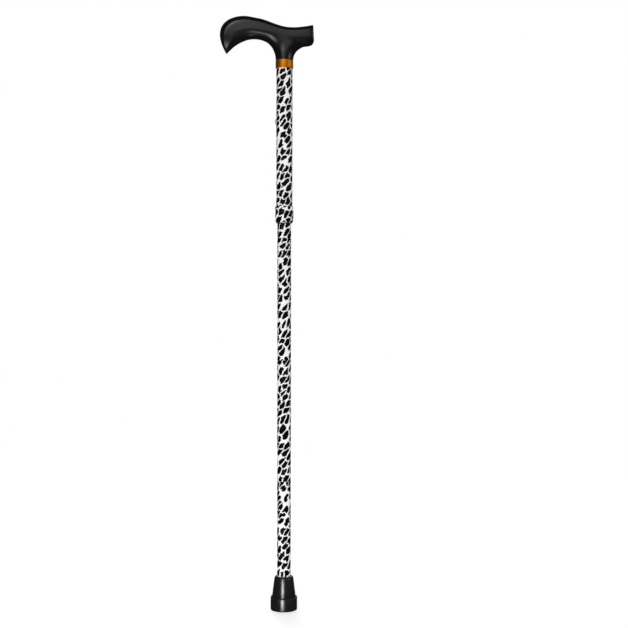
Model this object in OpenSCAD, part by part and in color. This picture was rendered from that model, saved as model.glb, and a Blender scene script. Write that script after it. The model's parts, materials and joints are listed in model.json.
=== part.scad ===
// Folding walking cane, shown open at its lowest height setting.
// The origin is the centre of the tread, on the axis of the shaft. Z is up and the nose of the handle points to -X.

/* [Folding sections] */
// Outer diameter of the folding tubes
fold_tube_d = 19; // [16:0.1:24]
// Wall of the folding tubes
fold_tube_wall = 1.3; // [1:0.1:2]
// Length that the second section adds to the shaft
section_2_len = 168; // [140:1:220]
// Length that the third section adds to the shaft
section_3_len = 168; // [140:1:220]
// Height of the lowest fold above the ground
section_4_len = 180; // [150:1:240]
// Gap between two tube ends that meet at a fold
joint_gap = 0.2; // [0.1:0.05:0.5]
// Distance from the side of the tubes out to the fold axis
fold_gap = 2; // [1:0.1:4]

/* [Joint plugs] */
// Height of the rounded nose that seats in the tube above
nose_len = 11.5; // [8:0.5:12]
// Length of the plug that is held in its own tube
plug_len = 22; // [12:1:40]
// Gap between the nose and the bore that it seats in
plug_clearance = 0.15; // [0.1:0.01:0.3]
// Diameter of the hole for the cord
cord_hole_d = 4.8; // [4.5:0.1:6]
// Radius of the rounded mouth of that hole
hole_mouth_r = 1.4; // [0.5:0.1:1.6]

/* [Cord] */
// Diameter of the elastic cord
cord_d = 4; // [3:0.1:4.3]
// Thickness of the anchor that holds a cord end
anchor_h = 9; // [6:0.5:14]
// Diameter of the knot
knot_d = 9; // [7:0.5:12]
// Height of the lower anchor above the ground
low_anchor_z = 62; // [60:1:100]

/* [Height adjustment] */
// Gap between the inner tube and the upper tube
slide_clearance = 0.4; // [0.2:0.05:0.8]
// Wall of the upper tube
upper_tube_wall = 1.2; // [1:0.1:2]
// Visible length of the upper tube, from the lock nut to the band
upper_tube_show = 188; // [180:1:260]
// Number of height holes
hole_count = 5; // [3:1:5]
// Distance between two height holes
hole_pitch = 25.4; // [15:0.1:26]
// Drop from the band to the uppermost height hole
hole_drop = 72.4; // [65:0.1:75]
// Length of the inner tube above its button
inner_tube_lead = 14.4; // [13:0.1:20]

/* [Snap button] */
// Diameter of the button
button_d = 6; // [5:0.1:7]
// Height of the button above the upper tube
button_proud = 2; // [1:0.1:3]
// Gap round the button in its holes
button_clearance = 0.2; // [0.1:0.05:0.4]
// Width of the spring strip
strip_w = 8; // [6:0.5:9]
// Thickness of the spring strip
strip_t = 0.8; // [0.5:0.1:1.2]
// Length of each leg of the spring
leg_len = 38; // [30:1:45]

/* [Lock nut] */
// Height of the lock nut
nut_h = 23.6; // [18:0.1:32]
// Rise from the uppermost fold to the lock nut
nut_rise = 20.4; // [12:0.1:40]
// Wall of the lock nut between its ribs
nut_wall = 0.9; // [0.7:0.1:2]
// Height of a grip rib above the wall
rib_h = 0.45; // [0.2:0.05:1]
// Number of grip ribs
rib_count = 12; // [6:1:20]
// Gap between the nut and the upper tube
nut_clearance = 0.08; // [0.05:0.01:0.1]
// Thickness of the lip under the collet
nut_lip = 2.2; // [1.5:0.1:4]
// Height of the collet
collet_h = 8; // [5:0.5:10]
// Number of slits in the collet
slit_count = 4; // [2:1:8]
// Width of a slit in the collet
slit_w = 1.2; // [0.8:0.1:2]

/* [Handle] */
// Length of the handle from nose to tail
handle_len = 129; // [110:1:150]
// Height of the handle above the band
handle_rise = 60; // [50:1:75]
// Thickness of the handle across the palm
handle_depth = 27; // [22:0.5:32]
// Reach of the nose in front of the shaft axis
nose_reach = 88.5; // [70:0.5:100]
// Length of the stem in the upper tube
stem_len = 36; // [20:1:40]
// Width of the blend from the neck to the nose
front_flare_w = 27; // [20:0.5:32]
// Height of the blend from the neck to the nose
front_flare_h = 28.3; // [24:0.1:32]
// Width of the blend from the neck to the tail
back_flare_w = 19; // [14:0.5:24]
// Height of the blend from the neck to the tail
back_flare_h = 18.3; // [14:0.1:22]

/* [Band] */
// Height of the metal band under the handle
band_h = 11.5; // [8:0.1:18]
// Wall of the metal band
band_wall = 1; // [0.8:0.1:2]
// Radius of the band's rolled edges
band_edge_r = 0.5; // [0.2:0.1:0.7]

/* [Ferrule] */
// Height of the rubber ferrule
ferrule_h = 47; // [38:0.5:58]
// Diameter of the foot
foot_d = 37; // [32:0.5:48]
// Height of the foot
foot_h = 18; // [12:0.5:24]
// Diameter of the boot where it leaves the foot
boot_d = 33; // [29:0.5:36]
// Diameter of the boot at its mouth
mouth_d = 26.5; // [24:0.5:28]
// Radius of the rounded shoulder at the mouth
mouth_edge_r = 3.2; // [0.5:0.1:3.5]
// Radius of the edges of the foot
foot_edge_r = 1.2; // [0.5:0.1:4]
// Thickness of rubber under the washer
floor_t = 7; // [5:0.5:10]
// Thickness of the steel washer
washer_t = 1.5; // [1:0.1:3]
// Number of grooves in the tread
groove_count = 3; // [2:1:4]
// Width of a tread groove
groove_w = 0.8; // [0.5:0.1:2]
// Depth of a tread groove
groove_depth = 0.25; // [0.1:0.05:3]

/* [Hidden] */
$fn = 64;

// How far a cut runs past the face that it opens
overrun = 1;
// Gap of a glued or pressed seat inside one assembly
seat_clearance = 0.05;
// Gap between two cord ends that meet
cord_gap = 0.3;

// Height of the knot's middle above the anchor, as a share of the knot
knot_seat_share = 0.4;
// How much of the collet's height a slit cuts
slit_share = 0.75;
// Straight steps in a rounded edge
arc_steps = 5;

fold_tube_r = fold_tube_d / 2;
fold_bore_r = fold_tube_r - fold_tube_wall;
fold_axis_x = fold_tube_r + fold_gap;
plug_r = fold_bore_r - plug_clearance;
upper_bore_r = fold_tube_r + slide_clearance;
upper_tube_r = upper_bore_r + upper_tube_wall;
band_r = upper_tube_r + band_wall;

fold_3_z = section_4_len;
fold_2_z = fold_3_z + section_3_len;
fold_1_z = fold_2_z + section_2_len;
nut_z = fold_1_z + nut_rise;
collet_z = nut_z + nut_lip;
upper_tube_z = collet_z + collet_h;
band_z = nut_z + nut_h + upper_tube_show;
neck_z = band_z + band_h;
button_z = band_z - hole_drop;
inner_top_z = button_z + inner_tube_lead;

hole_r = button_d / 2 + button_clearance;
strip_lead = button_d;
bend_z = button_z + strip_lead - leg_len;
leg_x = sqrt(pow(fold_bore_r, 2) - pow(strip_w / 2, 2)) - plug_clearance;
high_anchor_z = bend_z - leg_x - knot_d - anchor_h;

// Shares of the handle's length and rise, in pairs across the grip from the tip of the nose to the tail
grip_top_shares = [
    [0.061, 0.162], [0.029, 0.302], [0.008, 0.443], [0, 0.588], [0.018, 0.75], [0.07, 0.882],
    [0.153, 0.967], [0.26, 0.998], [0.371, 0.962], [0.467, 0.917], [0.562, 0.843], [0.638, 0.787],
    [0.714, 0.75], [0.799, 0.743], [0.88, 0.758], [0.94, 0.777], [0.972, 0.789], [0.992, 0.797]
];
grip_under_shares = [
    [0.071, 0.135], [0.105, 0.212], [0.147, 0.295], [0.191, 0.362], [0.236, 0.412], [0.279, 0.447],
    [0.321, 0.467], [0.36, 0.475], [0.407, 0.468], [0.476, 0.442], [0.562, 0.402], [0.638, 0.372],
    [0.714, 0.344], [0.799, 0.318], [0.88, 0.305], [0.945, 0.316], [0.983, 0.358], [1, 0.437]
];
// Shares of the handle's depth at the same pairs
grip_width_shares = [
    0.3, 0.58, 0.76, 0.87, 0.93, 0.97, 0.99, 1, 1, 0.99, 0.97, 0.95, 0.94, 0.94, 0.94, 0.93, 0.91, 0.87
];
// How square a grip section is: 1 is an ellipse, and less is squarer
grip_round_share = 0.58;
// Rings between two pairs of the grip, points round a ring, and rings up the neck
grip_steps = 3;
ring_sides = 32;
neck_steps = 10;
// Share of the neck's blend at which its last wide ring lies
flare_end_share = 0.985;
// Height by which the neck runs on inside the grip
neck_cap_h = 5;
// Depth of the neck at the top of that run, as a share of its depth below
neck_top_share = 0.97;
// Depth of the neck where it meets the grip, as a share of the handle's depth
neck_depth_share = 0.93;

// One coordinate of a smooth curve through four values
function blend(a, b, c, d, t) =
    b + t * (c - a) / 2 + pow(t, 2) * (a - 2.5 * b + 2 * c - d / 2) + pow(t, 3) * (1.5 * (b - c) + (d - a) / 2);

// The item at i, or the nearest end of the list
function at(list, i) = list[max(0, min(len(list) - 1, i))];

// A smooth curve through every item of a list
function smooth(list, steps) = [
    for (i = [0 : len(list) - 2], s = [0 : steps - 1])
        blend(at(list, i - 1), list[i], list[i + 1], at(list, i + 2), s / steps),
    list[len(list) - 1]
];

// A signed power, which squares up a circle's sine or cosine
function squared(v, p) = sign(v) * pow(abs(v), p);

// A point of the handle from its shares of length and rise
function handle_point(share) = [share[0] * handle_len - nose_reach, neck_z + share[1] * handle_rise];

// One closed ring across the grip, between its top and its under point
function grip_ring(top, under, half_w) = [
    for (k = [0 : ring_sides - 1])
        let (
            a = 360 * k / ring_sides,
            up = squared(sin(a), grip_round_share),
            p = (top + under) / 2 + up * (top - under) / 2
        )
        [p[0], half_w * squared(cos(a), grip_round_share), p[1]]
];

// How far a quarter-ellipse blend has spread at a height
function flare(z, w, h) = w * (1 - sqrt(1 - pow(min(flare_end_share, z / h), 2)));

// One closed ring across the neck at a height above the band
function neck_ring(z, narrow) =
    let (
        rise = min(1, z / front_flare_h),
        front = -band_r - flare(z, front_flare_w, front_flare_h),
        back = band_r + flare(z, back_flare_w, back_flare_h),
        half_w = narrow * (band_r + rise * (neck_depth_share * handle_depth / 2 - band_r))
    )
    [
        for (k = [0 : ring_sides - 1])
            let (a = 360 * k / ring_sides)
            [(front + back) / 2 + cos(a) * (back - front) / 2, half_w * sin(a), neck_z + z]
    ];

// A closed skin of triangles over a list of rings
module skin(rings) {
    n = len(rings[0]);
    last = len(rings) - 1;
    lower = [for (i = [0 : last - 1], k = [0 : n - 1]) [i * n + k, (i + 1) * n + k, i * n + (k + 1) % n]];
    upper = [
        for (i = [0 : last - 1], k = [0 : n - 1])
            [i * n + (k + 1) % n, (i + 1) * n + k, (i + 1) * n + (k + 1) % n]
    ];
    first_cap = [for (k = [1 : n - 2]) [0, k, k + 1]];
    last_cap = [for (k = [1 : n - 2]) [last * n, last * n + k + 1, last * n + k]];
    polyhedron([for (ring = rings) each ring], concat(lower, upper, first_cap, last_cap), convexity = 6);
}

// A straight tube standing on the axis of the shaft
module pipe(outer_r, bore_r, from_z, to_z) {
    translate([0, 0, from_z])
        difference() {
            cylinder(r = outer_r, h = to_z - from_z);
            translate([0, 0, -overrun]) cylinder(r = bore_r, h = to_z - from_z + 2 * overrun);
        }
}

// A hole through the -X side of a tube
module side_hole(z) {
    translate([0, 0, z]) rotate([0, -90, 0]) cylinder(r = hole_r, h = upper_tube_r + overrun);
}

// Derby handle: a lofted grip, a neck that flares into it and a stem for the tube
module handle() {
    tops = smooth([for (s = grip_top_shares) handle_point(s)], grip_steps);
    unders = smooth([for (s = grip_under_shares) handle_point(s)], grip_steps);
    widths = smooth(grip_width_shares, grip_steps);
    neck_top = front_flare_h * flare_end_share;
    neck_heights = [for (i = [0 : neck_steps]) neck_top * i / neck_steps];
    color("#1b1b1d") {
        skin([for (i = [0 : len(tops) - 1]) grip_ring(tops[i], unders[i], widths[i] * handle_depth / 2)]);
        skin(concat([for (z = neck_heights) neck_ring(z, 1)], [neck_ring(neck_top + neck_cap_h, neck_top_share)]));
        translate([0, 0, neck_z - stem_len]) cylinder(r = upper_bore_r - seat_clearance, h = stem_len);
    }
}

// Metal band that covers the joint between handle and tube
module collar_band() {
    bore_r = upper_tube_r + seat_clearance;
    edge_x = band_r - band_edge_r;
    color("#c98a2b")
        rotate_extrude()
            polygon(concat(
                [[bore_r, band_z]],
                arc_points([edge_x, band_z + band_edge_r], band_edge_r, -90, 0),
                arc_points([edge_x, neck_z - band_edge_r], band_edge_r, 0, 90),
                [[bore_r, neck_z]]
            ));
}

// Upper tube with its row of height holes
module upper_tube() {
    color("#d9d9d9")
        difference() {
            pipe(upper_tube_r, upper_bore_r, upper_tube_z, neck_z);
            for (i = [0 : hole_count - 1]) side_hole(button_z - i * hole_pitch);
        }
}

// Split ring that the lock nut squeezes on to the inner tube
module collet() {
    bore_r = fold_tube_r + nut_clearance;
    taper = upper_tube_wall / 2;
    color("#3a3a3c")
        difference() {
            rotate_extrude()
                polygon([
                    [bore_r, collet_z],
                    [upper_tube_r - taper, collet_z],
                    [upper_tube_r, collet_z + collet_h / 2],
                    [upper_tube_r, upper_tube_z],
                    [bore_r, upper_tube_z]
                ]);
            for (i = [0 : slit_count - 1])
                rotate([0, 0, 360 * (i + 0.5) / slit_count])
                    translate([0, -slit_w / 2, collet_z - overrun])
                        cube([band_r, slit_w, collet_h * slit_share + overrun]);
        }
}

// Ribbed nut that turns on the end of the upper tube
module lock_nut() {
    bore_r = upper_tube_r + nut_clearance;
    lip_r = fold_tube_r + slide_clearance / 2;
    wall_r = bore_r + nut_wall;
    rib_r = wall_r + rib_h;
    chamfer = nut_wall + rib_h;
    rib_half = PI * rib_r / rib_count / 2;
    color("#cfcfcf")
        difference() {
            intersection() {
                rotate_extrude()
                    polygon([
                        [0, nut_z],
                        [rib_r - chamfer, nut_z],
                        [rib_r, nut_z + 2 * chamfer],
                        [rib_r, nut_z + nut_h - rib_h],
                        [rib_r - rib_h, nut_z + nut_h],
                        [0, nut_z + nut_h]
                    ]);
                union() {
                    translate([0, 0, nut_z]) cylinder(r = wall_r, h = nut_h);
                    for (i = [0 : rib_count - 1])
                        rotate([0, 0, 360 * i / rib_count])
                            translate([0, -rib_half, nut_z]) cube([rib_r, 2 * rib_half, nut_h]);
                }
            }
            translate([0, 0, nut_z - overrun]) cylinder(r = lip_r, h = nut_h + 2 * overrun);
            translate([0, 0, collet_z]) cylinder(r = bore_r, h = nut_h + overrun);
        }
}

// Inner tube of the handle section, which slides to set the height
module inner_tube() {
    color("#d9d9d9")
        difference() {
            pipe(fold_tube_r, fold_bore_r, fold_1_z + joint_gap / 2, inner_top_z);
            side_hole(button_z);
        }
}

// Plastic bush that guides the top of the inner tube
module glide_bush() {
    rim_h = 2 * fold_tube_wall;
    spigot_h = inner_tube_lead - strip_lead - 2 * strip_t;
    bush_bore_r = fold_bore_r - fold_tube_wall;
    color("#3a3a3c") {
        pipe(upper_bore_r - slide_clearance / 4, bush_bore_r, inner_top_z, inner_top_z + rim_h);
        pipe(fold_bore_r - seat_clearance, bush_bore_r, inner_top_z - spigot_h, inner_top_z);
    }
}

// Bent spring strip with its round button, pressed from one piece
module snap_button() {
    button_reach = upper_tube_r + button_proud;
    color("#d8c9a0") {
        translate([0, 0, bend_z])
            rotate([90, 0, 0])
                linear_extrude(height = strip_w, center = true)
                    difference() {
                        union() {
                            circle(r = leg_x);
                            translate([-leg_x, 0]) square([2 * leg_x, leg_len]);
                        }
                        circle(r = leg_x - strip_t);
                        translate([strip_t - leg_x, 0]) square([2 * (leg_x - strip_t), leg_len + overrun]);
                    }
        translate([0, 0, button_z])
            intersection() {
                rotate([0, -90, 0])
                    translate([0, 0, leg_x - strip_t / 2]) cylinder(d = button_d, h = button_reach);
                translate([button_d - button_reach, 0, 0]) sphere(r = button_d);
            }
    }
}

// Grooved disc that a crimp in the tube holds, with a hole for the cord
module cord_anchor(base_z) {
    anchor_r = fold_bore_r - seat_clearance;
    waist_r = anchor_r - fold_tube_wall;
    rim = anchor_h / 3;
    color("#8c8f92") {
        pipe(anchor_r, cord_hole_d / 2, base_z, base_z + rim);
        pipe(waist_r, cord_hole_d / 2, base_z + rim, base_z + 2 * rim);
        pipe(anchor_r, cord_hole_d / 2, base_z + 2 * rim, base_z + anchor_h);
    }
}

// Knot with its tail through the anchor, for an anchor that is passed upwards from z = 0
module cord_knot() {
    color("#161616") {
        cylinder(d = cord_d, h = anchor_h + knot_d / 2);
        translate([0, 0, anchor_h])
            intersection() {
                translate([0, 0, knot_d * knot_seat_share]) sphere(d = knot_d);
                cylinder(d = knot_d, h = knot_d);
            }
    }
}

// Upper cord anchor
module cord_anchor_top() {
    cord_anchor(high_anchor_z);
}

// Upper knot
module cord_knot_top() {
    translate([0, 0, high_anchor_z]) cord_knot();
}

// One stretch of the elastic cord
module cord_stretch(from_z, to_z) {
    color("#161616") translate([0, 0, from_z]) cylinder(d = cord_d, h = to_z - from_z);
}

// Folding tube between two heights
module section_tube(from_z, to_z) {
    color("#d9d9d9") pipe(fold_tube_r, fold_bore_r, from_z, to_z);
}

// Plug whose nose is struck from the fold axis, so that it swings out of the tube above
module section_plug(fold_z) {
    shoulder_z = fold_z - joint_gap / 2;
    hole_r = cord_hole_d / 2;
    color("#c4c7ca") {
        pipe(fold_bore_r - seat_clearance, hole_r, shoulder_z - plug_len, shoulder_z);
        translate([0, 0, fold_z])
            rotate_extrude()
                difference() {
                    intersection() {
                        translate([-fold_axis_x, 0]) circle(r = fold_axis_x + plug_r, $fn = 128);
                        translate([hole_r, -joint_gap / 2]) square([plug_r - hole_r, nose_len + joint_gap / 2]);
                    }
                    translate([hole_r, nose_len - hole_mouth_r])
                        difference() {
                            square([hole_mouth_r, hole_mouth_r + overrun]);
                            translate([hole_mouth_r, 0]) circle(r = hole_mouth_r);
                        }
                }
    }
}

// Cord from the upper anchor to the nose of the second section
module cord_1() {
    cord_stretch(fold_1_z + nose_len + cord_gap, high_anchor_z);
}

// Second section
module section_2_tube() {
    section_tube(fold_2_z + joint_gap / 2, fold_1_z - joint_gap / 2);
}

// Plug of the second section
module section_2_plug() {
    section_plug(fold_1_z);
}

// Cord through the second section
module cord_2() {
    cord_stretch(fold_2_z + nose_len + cord_gap, fold_1_z + nose_len);
}

// Third section
module section_3_tube() {
    section_tube(fold_3_z + joint_gap / 2, fold_2_z - joint_gap / 2);
}

// Plug of the third section
module section_3_plug() {
    section_plug(fold_2_z);
}

// Cord through the third section
module cord_3() {
    cord_stretch(fold_3_z + nose_len + cord_gap, fold_2_z + nose_len);
}

// Lowest section, which stands on the washer in the ferrule
module section_4_tube() {
    section_tube(floor_t + washer_t, fold_3_z - joint_gap / 2);
}

// Plug of the lowest section
module section_4_plug() {
    section_plug(fold_3_z);
}

// Cord through the lowest section
module cord_4() {
    cord_stretch(low_anchor_z + anchor_h, fold_3_z + nose_len);
}

// Lower cord anchor
module cord_anchor_bottom() {
    cord_anchor(low_anchor_z);
}

// Lower knot
module cord_knot_bottom() {
    translate([0, 0, low_anchor_z + anchor_h]) mirror([0, 0, 1]) cord_knot();
}

// Points of a quarter circle, from one angle to another
function arc_points(centre, r, from_a, to_a) = [
    for (i = [0 : arc_steps])
        let (a = from_a + (to_a - from_a) * i / arc_steps)
        centre + r * [cos(a), sin(a)]
];

// Rubber ferrule with a broad foot, a tapered boot and a grooved tread
module ferrule() {
    foot_r = foot_d / 2;
    boot_r = boot_d / 2;
    mouth_r = mouth_d / 2;
    socket_r = fold_tube_r + seat_clearance;
    land = (foot_r - foot_edge_r) / (groove_count + 0.5);
    color("#1d1d1e")
        difference() {
            rotate_extrude()
                polygon(concat(
                    [[0, 0]],
                    arc_points([foot_r - foot_edge_r, foot_edge_r], foot_edge_r, -90, 0),
                    arc_points([foot_r - foot_edge_r, foot_h - foot_edge_r], foot_edge_r, 0, 75),
                    [[boot_r, foot_h + foot_edge_r / 2]],
                    arc_points([mouth_r - mouth_edge_r, ferrule_h - mouth_edge_r], mouth_edge_r, 0, 90),
                    [[0, ferrule_h]]
                ));
            translate([0, 0, floor_t]) cylinder(r = socket_r, h = ferrule_h);
            for (i = [1 : groove_count])
                pipe(i * land + groove_w / 2, i * land - groove_w / 2, -overrun, groove_depth);
        }
}

// Steel washer under the end of the lowest tube
module ferrule_washer() {
    color("#a9adb0") translate([0, 0, floor_t]) cylinder(r = fold_tube_r - plug_clearance, h = washer_t);
}

handle();
collar_band();
upper_tube();
collet();
lock_nut();
inner_tube();
glide_bush();
snap_button();
cord_anchor_top();
cord_knot_top();
cord_1();
section_2_tube();
section_2_plug();
cord_2();
section_3_tube();
section_3_plug();
cord_3();
section_4_tube();
section_4_plug();
cord_4();
cord_anchor_bottom();
cord_knot_bottom();
ferrule();
ferrule_washer();
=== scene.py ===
# %% [markdown]
# # A folding cane, dressed in Blender
#
# The cane is already built as exact solids: a derby handle, a gold band, printed aluminium tubes, a lock nut,
# a snap button, grey plugs, an elastic cord and a rubber ferrule. This lesson loads those solids as a fixed
# frame and makes the finished pieces that show, with rounded edges, moulded forms and procedural finishes.
# Real sizes are written in millimetres and turned into Blender's metres with one factor. A place is read from
# the frame where it can be, so each piece sits where its solid is.

# %% Load the frame
import json
import math

import bpy
import numpy as np
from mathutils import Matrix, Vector

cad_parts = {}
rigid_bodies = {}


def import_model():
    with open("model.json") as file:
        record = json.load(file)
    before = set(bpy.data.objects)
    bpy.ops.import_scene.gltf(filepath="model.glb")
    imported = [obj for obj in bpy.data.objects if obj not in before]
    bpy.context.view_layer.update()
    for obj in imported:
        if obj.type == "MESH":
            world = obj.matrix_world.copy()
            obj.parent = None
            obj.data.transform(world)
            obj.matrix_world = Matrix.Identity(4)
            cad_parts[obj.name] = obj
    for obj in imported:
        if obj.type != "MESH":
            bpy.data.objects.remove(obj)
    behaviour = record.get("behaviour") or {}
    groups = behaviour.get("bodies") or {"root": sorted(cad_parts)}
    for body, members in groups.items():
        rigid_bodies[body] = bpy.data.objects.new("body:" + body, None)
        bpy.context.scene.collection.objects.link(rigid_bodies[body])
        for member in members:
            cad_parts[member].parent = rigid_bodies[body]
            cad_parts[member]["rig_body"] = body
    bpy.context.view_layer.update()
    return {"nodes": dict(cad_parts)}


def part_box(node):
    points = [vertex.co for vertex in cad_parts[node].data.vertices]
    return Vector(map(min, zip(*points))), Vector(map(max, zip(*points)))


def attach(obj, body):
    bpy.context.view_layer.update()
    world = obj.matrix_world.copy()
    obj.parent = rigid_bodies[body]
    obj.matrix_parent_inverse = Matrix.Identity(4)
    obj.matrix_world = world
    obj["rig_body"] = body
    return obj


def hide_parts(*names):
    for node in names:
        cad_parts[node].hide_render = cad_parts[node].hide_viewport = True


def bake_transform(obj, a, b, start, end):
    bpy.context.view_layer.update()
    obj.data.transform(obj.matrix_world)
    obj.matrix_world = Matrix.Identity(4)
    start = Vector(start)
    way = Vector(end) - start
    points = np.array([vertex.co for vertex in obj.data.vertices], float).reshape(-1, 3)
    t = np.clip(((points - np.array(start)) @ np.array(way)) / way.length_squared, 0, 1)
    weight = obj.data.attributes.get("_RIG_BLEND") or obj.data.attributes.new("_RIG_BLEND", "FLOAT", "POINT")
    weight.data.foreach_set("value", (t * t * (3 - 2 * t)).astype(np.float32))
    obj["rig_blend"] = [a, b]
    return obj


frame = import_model()

MM = 0.001
nodes = frame["nodes"]

# %% [markdown]
# ## Camera
#
# The picture was taken from a little above the middle of the cane with a long lens, so upright edges stay
# upright and the foot shows a shallow curve. The camera could be placed by eye. Here it is set in real sizes:
# its distance, its height, and the point on the cane's own plane that falls in the middle of the picture.
# A very small roll matches the lean of the cane.

# %% The camera
SENSOR = 36.0
CAMERA_DISTANCE = 1720 * MM
CAMERA_HEIGHT = 480 * MM
CAMERA_ROLL = math.radians(0.12)
PICTURE_WIDTH = 867.2 * MM
PICTURE_MIDDLE = Vector((41.2 * MM, 0, 411.6 * MM))


def aim(obj, target):
    """Turns a light or a camera so that it looks at a point."""
    obj.rotation_euler = (target - obj.location).to_track_quat("-Z", "Y").to_euler()


bpy.ops.object.select_all(action="DESELECT")
bpy.ops.object.camera_add(location=(PICTURE_MIDDLE.x, -CAMERA_DISTANCE, CAMERA_HEIGHT))
camera = bpy.context.active_object
camera.name = "photo_camera"
aim(camera, PICTURE_MIDDLE)
camera.rotation_euler.rotate_axis("Z", CAMERA_ROLL)
camera.data.sensor_width = SENSOR
camera.data.lens = SENSOR * (PICTURE_MIDDLE - camera.location).length / PICTURE_WIDTH
bpy.context.scene.camera = camera
bpy.context.scene.view_settings.view_transform = "Standard"
print("lens in mm", round(camera.data.lens, 1))

# %% [markdown]
# ## Light
#
# Glossy black and matt white want different lights. Two large boxes, one in front and one behind, light only
# the matt surfaces, so the white print is bright while the black spots stay black. One lamp for both would
# grey the black. Six more boxes only show as reflections. A small strip near the floor gives the upright
# streak on the ferrule, and one on the left gives the bright line over the handle's arch. A broad box above
# the camera lays a grey sheen on the upper half of the handle, a narrow one beside it draws the line inside
# the nose's rim, one on the right brightens the right side of the band, and one behind shows the form of the
# handle's back.

# %% The lights
CANE_MIDDLE = Vector((0, 0, 420 * MM))
FERRULE_PLACE = Vector((0, 0, 25 * MM))
NOSE_PLACE = Vector((-60 * MM, 0, 790 * MM))


def soft_box(name, place, target, size, power, mirrored):
    """An area light that looks at a target, and shows either as a reflection or as light on matt surfaces."""
    bpy.ops.object.light_add(type="AREA", location=place)
    lamp = bpy.context.active_object
    lamp.name = name
    lamp.data.shape = "RECTANGLE"
    lamp.data.size, lamp.data.size_y = size
    lamp.data.energy = power
    lamp.visible_camera = False
    lamp.visible_glossy = mirrored
    lamp.visible_diffuse = not mirrored
    aim(lamp, target)


soft_box("front_fill", (-300 * MM, -2400 * MM, 900 * MM), CANE_MIDDLE, (900 * MM, 1600 * MM), 36, False)
soft_box("back_fill", (-300 * MM, 2200 * MM, 1100 * MM), CANE_MIDDLE, (1500 * MM, 1500 * MM), 30, False)
soft_box("ferrule_strip", (-62 * MM, -300 * MM, -18 * MM), FERRULE_PLACE, (74 * MM, 150 * MM), 1.2, True)
soft_box("arch_strip", (-250 * MM, -580 * MM, 420 * MM), NOSE_PLACE, (200 * MM, 160 * MM), 1.5, True)
soft_box("sheen_box", (-300 * MM, -2300 * MM, 1700 * MM), NOSE_PLACE, (2400 * MM, 1600 * MM), 13.2, True)
soft_box("rim_strip", (-620 * MM, -1850 * MM, 1720 * MM), NOSE_PLACE, (300 * MM, 1200 * MM), 10, True)
soft_box("side_box", (2000 * MM, -800 * MM, 950 * MM), NOSE_PLACE, (1200 * MM, 800 * MM), 9, True)
soft_box("back_sheen", (500 * MM, 2300 * MM, 1700 * MM), NOSE_PLACE, (2600 * MM, 1400 * MM), 14, True)

# %% [markdown]
# The world is white where the camera sees it, fairly bright where it lights matt surfaces, and dark where it
# is mirrored. That keeps dark rims round the black pieces in front of a white ground, as a studio with black
# cards at its sides does.

# %% The world
GROUND_WHITE = 1.0
AMBIENT_LIGHT = 0.26
MIRRORED_LIGHT = 0.035


def add_node(tree, kind, inputs=None, **settings):
    """Adds one node with its settings. An input is a value, or another node or its output, to be linked."""
    node = tree.nodes.new(kind)
    for name, value in settings.items():
        setattr(node, name, value)
    used = [socket for socket in node.inputs if socket.enabled]
    for key, value in (inputs or {}).items():
        socket = used[key] if isinstance(key, int) else next(s for s in used if s.name == key)
        if isinstance(value, bpy.types.Node):
            value = next(s for s in value.outputs if s.enabled)
        if isinstance(value, bpy.types.NodeSocket):
            tree.links.new(value, socket)
        else:
            socket.default_value = value
    return node


world = bpy.data.worlds.new("white_studio")
bpy.context.scene.world = world
world.use_nodes = True
sky = world.node_tree
sky.nodes.clear()
ray = add_node(sky, "ShaderNodeLightPath")
unseen = add_node(
    sky,
    "ShaderNodeMapRange",
    {"Value": ray.outputs["Is Glossy Ray"], "To Min": AMBIENT_LIGHT, "To Max": MIRRORED_LIGHT},
)
brightness = add_node(
    sky, "ShaderNodeMix", {"Factor": ray.outputs["Is Camera Ray"], "A": unseen, "B": GROUND_WHITE}
)
ground = add_node(sky, "ShaderNodeBackground", {"Color": (1, 1, 1, 1), "Strength": brightness})
add_node(sky, "ShaderNodeOutputWorld", {"Surface": ground})
print("world", world.name)

# %% [markdown]
# ## Floor
#
# The floor is a pale disc under the ferrule. It could be a plane with a horizon. Here it fades out towards
# its rim, so there is no line behind the cane, only the soft shadow where the foot stands.

# %% The floor
FLOOR_R = 1500 * MM
FLOOR_FADE = 700 * MM
FLOOR_DROP = 0.3 * MM
FLOOR_SIDES = 96


def srgb(code):
    """A colour written as sRGB hex, in Blender's linear numbers."""
    parts = [int(code[i : i + 2], 16) / 255 for i in (1, 3, 5)]
    return tuple(c / 12.92 if c <= 0.04045 else ((c + 0.055) / 1.055) ** 2.4 for c in parts) + (1.0,)


def new_material(name):
    """A named material with an empty node tree."""
    made = bpy.data.materials.new(name)
    made.use_nodes = True
    made.node_tree.nodes.clear()
    return made, made.node_tree


def white_board():
    """Matt white board that is clear at its rim."""
    made, tree = new_material("matt_white_board")
    place = add_node(tree, "ShaderNodeTexCoord").outputs["Object"]
    reach = add_node(tree, "ShaderNodeVectorMath", {0: place}, operation="LENGTH")
    fade = add_node(
        tree,
        "ShaderNodeMapRange",
        {"Value": reach, "From Min": FLOOR_FADE, "From Max": FLOOR_R, "To Min": 1.0, "To Max": 0.0},
    )
    shader = add_node(
        tree,
        "ShaderNodeBsdfPrincipled",
        {
            "Base Color": srgb("#F8F8F7"),
            "Roughness": 0.9,
            "Specular IOR Level": 0.1,
            "Alpha": fade,
            "Emission Color": (1, 1, 1, 1),
            "Emission Strength": 0.5,
        },
    )
    add_node(tree, "ShaderNodeOutputMaterial", {"Surface": shader})
    return made


bpy.ops.mesh.primitive_circle_add(
    vertices=FLOOR_SIDES, radius=FLOOR_R, fill_type="NGON", location=(0, 0, -FLOOR_DROP)
)
floor = bpy.context.active_object
floor.name = "pale_floor"
floor.data.materials.append(white_board())
floor.visible_glossy = False
print("floor across in mm", round(2 * FLOOR_R / MM))

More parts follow.
